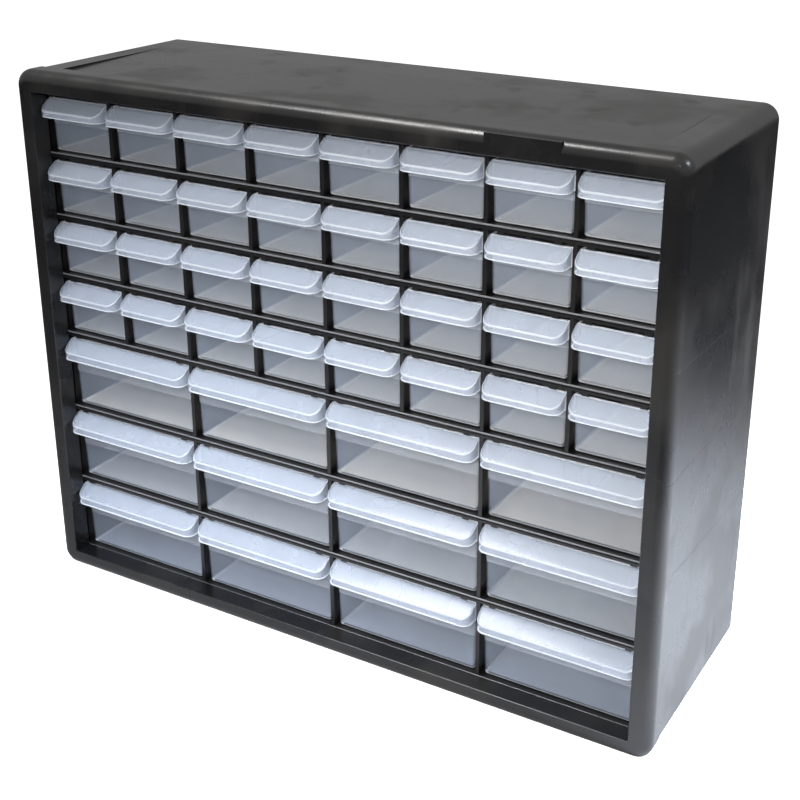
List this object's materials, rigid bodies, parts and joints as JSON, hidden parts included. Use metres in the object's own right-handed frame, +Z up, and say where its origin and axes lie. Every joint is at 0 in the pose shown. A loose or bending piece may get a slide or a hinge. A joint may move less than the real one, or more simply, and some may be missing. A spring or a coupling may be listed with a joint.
{
  "type": "parts bin cabinet",
  "caption": "Black parts cabinet whose clear hooded plastic bins slide out of a grid of shelves and uprights, small bins above and large ones below.",
  "frame": {"origin": "middle of the footprint, on the surface that the cabinet stands on", "axes": "+X to the right seen from the front, +Y from the front to the back, +Z up"},
  "size_m": [0.508, 0.168, 0.402],
  "materials": {
    "case_black": "satin black moulded",
    "bin_clear": "translucent natural, smooth"
  },
  "bodies": {
    "case": {"case_shell": "case_black", "front_bezel": "case_black", "back_panel": "case_black", "ceiling_plate": "case_black", "shelf_1": "case_black", "shelf_2": "case_black", "shelf_3": "case_black", "shelf_4": "case_black", "shelf_5": "case_black", "shelf_6": "case_black", "floor_plate": "case_black", "long_upright_left": "case_black", "long_upright_centre": "case_black", "long_upright_right": "case_black", "short_uprights": "case_black", "side_liners": "case_black"},
    "drawer_small_r1c1": {"drawer_small_r1c1": "bin_clear"},
    "drawer_small_r1c2": {"drawer_small_r1c2": "bin_clear"},
    "drawer_small_r1c3": {"drawer_small_r1c3": "bin_clear"},
    "drawer_small_r1c4": {"drawer_small_r1c4": "bin_clear"},
    "drawer_small_r1c5": {"drawer_small_r1c5": "bin_clear"},
    "drawer_small_r1c6": {"drawer_small_r1c6": "bin_clear"},
    "drawer_small_r1c7": {"drawer_small_r1c7": "bin_clear"},
    "drawer_small_r1c8": {"drawer_small_r1c8": "bin_clear"},
    "drawer_small_r2c1": {"drawer_small_r2c1": "bin_clear"},
    "drawer_small_r2c2": {"drawer_small_r2c2": "bin_clear"},
    "drawer_small_r2c3": {"drawer_small_r2c3": "bin_clear"},
    "drawer_small_r2c4": {"drawer_small_r2c4": "bin_clear"},
    "drawer_small_r2c5": {"drawer_small_r2c5": "bin_clear"},
    "drawer_small_r2c6": {"drawer_small_r2c6": "bin_clear"},
    "drawer_small_r2c7": {"drawer_small_r2c7": "bin_clear"},
    "drawer_small_r2c8": {"drawer_small_r2c8": "bin_clear"},
    "drawer_small_r3c1": {"drawer_small_r3c1": "bin_clear"},
    "drawer_small_r3c2": {"drawer_small_r3c2": "bin_clear"},
    "drawer_small_r3c3": {"drawer_small_r3c3": "bin_clear"},
    "drawer_small_r3c4": {"drawer_small_r3c4": "bin_clear"},
    "drawer_small_r3c5": {"drawer_small_r3c5": "bin_clear"},
    "drawer_small_r3c6": {"drawer_small_r3c6": "bin_clear"},
    "drawer_small_r3c7": {"drawer_small_r3c7": "bin_clear"},
    "drawer_small_r3c8": {"drawer_small_r3c8": "bin_clear"},
    "drawer_small_r4c1": {"drawer_small_r4c1": "bin_clear"},
    "drawer_small_r4c2": {"drawer_small_r4c2": "bin_clear"},
    "drawer_small_r4c3": {"drawer_small_r4c3": "bin_clear"},
    "drawer_small_r4c4": {"drawer_small_r4c4": "bin_clear"},
    "drawer_small_r4c5": {"drawer_small_r4c5": "bin_clear"},
    "drawer_small_r4c6": {"drawer_small_r4c6": "bin_clear"},
    "drawer_small_r4c7": {"drawer_small_r4c7": "bin_clear"},
    "drawer_small_r4c8": {"drawer_small_r4c8": "bin_clear"},
    "drawer_large_r1c1": {"drawer_large_r1c1": "bin_clear"},
    "drawer_large_r1c2": {"drawer_large_r1c2": "bin_clear"},
    "drawer_large_r1c3": {"drawer_large_r1c3": "bin_clear"},
    "drawer_large_r1c4": {"drawer_large_r1c4": "bin_clear"},
    "drawer_large_r2c1": {"drawer_large_r2c1": "bin_clear"},
    "drawer_large_r2c2": {"drawer_large_r2c2": "bin_clear"},
    "drawer_large_r2c3": {"drawer_large_r2c3": "bin_clear"},
    "drawer_large_r2c4": {"drawer_large_r2c4": "bin_clear"},
    "drawer_large_r3c1": {"drawer_large_r3c1": "bin_clear"},
    "drawer_large_r3c2": {"drawer_large_r3c2": "bin_clear"},
    "drawer_large_r3c3": {"drawer_large_r3c3": "bin_clear"},
    "drawer_large_r3c4": {"drawer_large_r3c4": "bin_clear"}
  },
  "joints": [
    {"name": "slide_small_r1c1", "type": "slide", "parent": "case", "child": "drawer_small_r1c1", "axis": [0, -1, 0], "range_m": [0, 0.1318]},
    {"name": "slide_small_r1c2", "type": "slide", "parent": "case", "child": "drawer_small_r1c2", "axis": [0, -1, 0], "range_m": [0, 0.1318]},
    {"name": "slide_small_r1c3", "type": "slide", "parent": "case", "child": "drawer_small_r1c3", "axis": [0, -1, 0], "range_m": [0, 0.1318]},
    {"name": "slide_small_r1c4", "type": "slide", "parent": "case", "child": "drawer_small_r1c4", "axis": [0, -1, 0], "range_m": [0, 0.1318]},
    {"name": "slide_small_r1c5", "type": "slide", "parent": "case", "child": "drawer_small_r1c5", "axis": [0, -1, 0], "range_m": [0, 0.1318]},
    {"name": "slide_small_r1c6", "type": "slide", "parent": "case", "child": "drawer_small_r1c6", "axis": [0, -1, 0], "range_m": [0, 0.1318]},
    {"name": "slide_small_r1c7", "type": "slide", "parent": "case", "child": "drawer_small_r1c7", "axis": [0, -1, 0], "range_m": [0, 0.1318]},
    {"name": "slide_small_r1c8", "type": "slide", "parent": "case", "child": "drawer_small_r1c8", "axis": [0, -1, 0], "range_m": [0, 0.1318]},
    {"name": "slide_small_r2c1", "type": "slide", "parent": "case", "child": "drawer_small_r2c1", "axis": [0, -1, 0], "range_m": [0, 0.1318]},
    {"name": "slide_small_r2c2", "type": "slide", "parent": "case", "child": "drawer_small_r2c2", "axis": [0, -1, 0], "range_m": [0, 0.1318]},
    {"name": "slide_small_r2c3", "type": "slide", "parent": "case", "child": "drawer_small_r2c3", "axis": [0, -1, 0], "range_m": [0, 0.1318]},
    {"name": "slide_small_r2c4", "type": "slide", "parent": "case", "child": "drawer_small_r2c4", "axis": [0, -1, 0], "range_m": [0, 0.1318]},
    {"name": "slide_small_r2c5", "type": "slide", "parent": "case", "child": "drawer_small_r2c5", "axis": [0, -1, 0], "range_m": [0, 0.1318]},
    {"name": "slide_small_r2c6", "type": "slide", "parent": "case", "child": "drawer_small_r2c6", "axis": [0, -1, 0], "range_m": [0, 0.1318]},
    {"name": "slide_small_r2c7", "type": "slide", "parent": "case", "child": "drawer_small_r2c7", "axis": [0, -1, 0], "range_m": [0, 0.1318]},
    {"name": "slide_small_r2c8", "type": "slide", "parent": "case", "child": "drawer_small_r2c8", "axis": [0, -1, 0], "range_m": [0, 0.1318]},
    {"name": "slide_small_r3c1", "type": "slide", "parent": "case", "child": "drawer_small_r3c1", "axis": [0, -1, 0], "range_m": [0, 0.1318]},
    {"name": "slide_small_r3c2", "type": "slide", "parent": "case", "child": "drawer_small_r3c2", "axis": [0, -1, 0], "range_m": [0, 0.1318]},
    {"name": "slide_small_r3c3", "type": "slide", "parent": "case", "child": "drawer_small_r3c3", "axis": [0, -1, 0], "range_m": [0, 0.1318]},
    {"name": "slide_small_r3c4", "type": "slide", "parent": "case", "child": "drawer_small_r3c4", "axis": [0, -1, 0], "range_m": [0, 0.1318]},
    {"name": "slide_small_r3c5", "type": "slide", "parent": "case", "child": "drawer_small_r3c5", "axis": [0, -1, 0], "range_m": [0, 0.1318]},
    {"name": "slide_small_r3c6", "type": "slide", "parent": "case", "child": "drawer_small_r3c6", "axis": [0, -1, 0], "range_m": [0, 0.1318]},
    {"name": "slide_small_r3c7", "type": "slide", "parent": "case", "child": "drawer_small_r3c7", "axis": [0, -1, 0], "range_m": [0, 0.1318]},
    {"name": "slide_small_r3c8", "type": "slide", "parent": "case", "child": "drawer_small_r3c8", "axis": [0, -1, 0], "range_m": [0, 0.1318]},
    {"name": "slide_small_r4c1", "type": "slide", "parent": "case", "child": "drawer_small_r4c1", "axis": [0, -1, 0], "range_m": [0, 0.1318]},
    {"name": "slide_small_r4c2", "type": "slide", "parent": "case", "child": "drawer_small_r4c2", "axis": [0, -1, 0], "range_m": [0, 0.1318]},
    {"name": "slide_small_r4c3", "type": "slide", "parent": "case", "child": "drawer_small_r4c3", "axis": [0, -1, 0], "range_m": [0, 0.1318]},
    {"name": "slide_small_r4c4", "type": "slide", "parent": "case", "child": "drawer_small_r4c4", "axis": [0, -1, 0], "range_m": [0, 0.1318]},
    {"name": "slide_small_r4c5", "type": "slide", "parent": "case", "child": "drawer_small_r4c5", "axis": [0, -1, 0], "range_m": [0, 0.1318]},
    {"name": "slide_small_r4c6", "type": "slide", "parent": "case", "child": "drawer_small_r4c6", "axis": [0, -1, 0], "range_m": [0, 0.1318]},
    {"name": "slide_small_r4c7", "type": "slide", "parent": "case", "child": "drawer_small_r4c7", "axis": [0, -1, 0], "range_m": [0, 0.1318]},
    {"name": "slide_small_r4c8", "type": "slide", "parent": "case", "child": "drawer_small_r4c8", "axis": [0, -1, 0], "range_m": [0, 0.1318]},
    {"name": "slide_large_r1c1", "type": "slide", "parent": "case", "child": "drawer_large_r1c1", "axis": [0, -1, 0], "range_m": [0, 0.1318]},
    {"name": "slide_large_r1c2", "type": "slide", "parent": "case", "child": "drawer_large_r1c2", "axis": [0, -1, 0], "range_m": [0, 0.1318]},
    {"name": "slide_large_r1c3", "type": "slide", "parent": "case", "child": "drawer_large_r1c3", "axis": [0, -1, 0], "range_m": [0, 0.1318]},
    {"name": "slide_large_r1c4", "type": "slide", "parent": "case", "child": "drawer_large_r1c4", "axis": [0, -1, 0], "range_m": [0, 0.1318]},
    {"name": "slide_large_r2c1", "type": "slide", "parent": "case", "child": "drawer_large_r2c1", "axis": [0, -1, 0], "range_m": [0, 0.1318]},
    {"name": "slide_large_r2c2", "type": "slide", "parent": "case", "child": "drawer_large_r2c2", "axis": [0, -1, 0], "range_m": [0, 0.1318]},
    {"name": "slide_large_r2c3", "type": "slide", "parent": "case", "child": "drawer_large_r2c3", "axis": [0, -1, 0], "range_m": [0, 0.1318]},
    {"name": "slide_large_r2c4", "type": "slide", "parent": "case", "child": "drawer_large_r2c4", "axis": [0, -1, 0], "range_m": [0, 0.1318]},
    {"name": "slide_large_r3c1", "type": "slide", "parent": "case", "child": "drawer_large_r3c1", "axis": [0, -1, 0], "range_m": [0, 0.1318]},
    {"name": "slide_large_r3c2", "type": "slide", "parent": "case", "child": "drawer_large_r3c2", "axis": [0, -1, 0], "range_m": [0, 0.1318]},
    {"name": "slide_large_r3c3", "type": "slide", "parent": "case", "child": "drawer_large_r3c3", "axis": [0, -1, 0], "range_m": [0, 0.1318]},
    {"name": "slide_large_r3c4", "type": "slide", "parent": "case", "child": "drawer_large_r3c4", "axis": [0, -1, 0], "range_m": [0, 0.1318]}
  ]
}
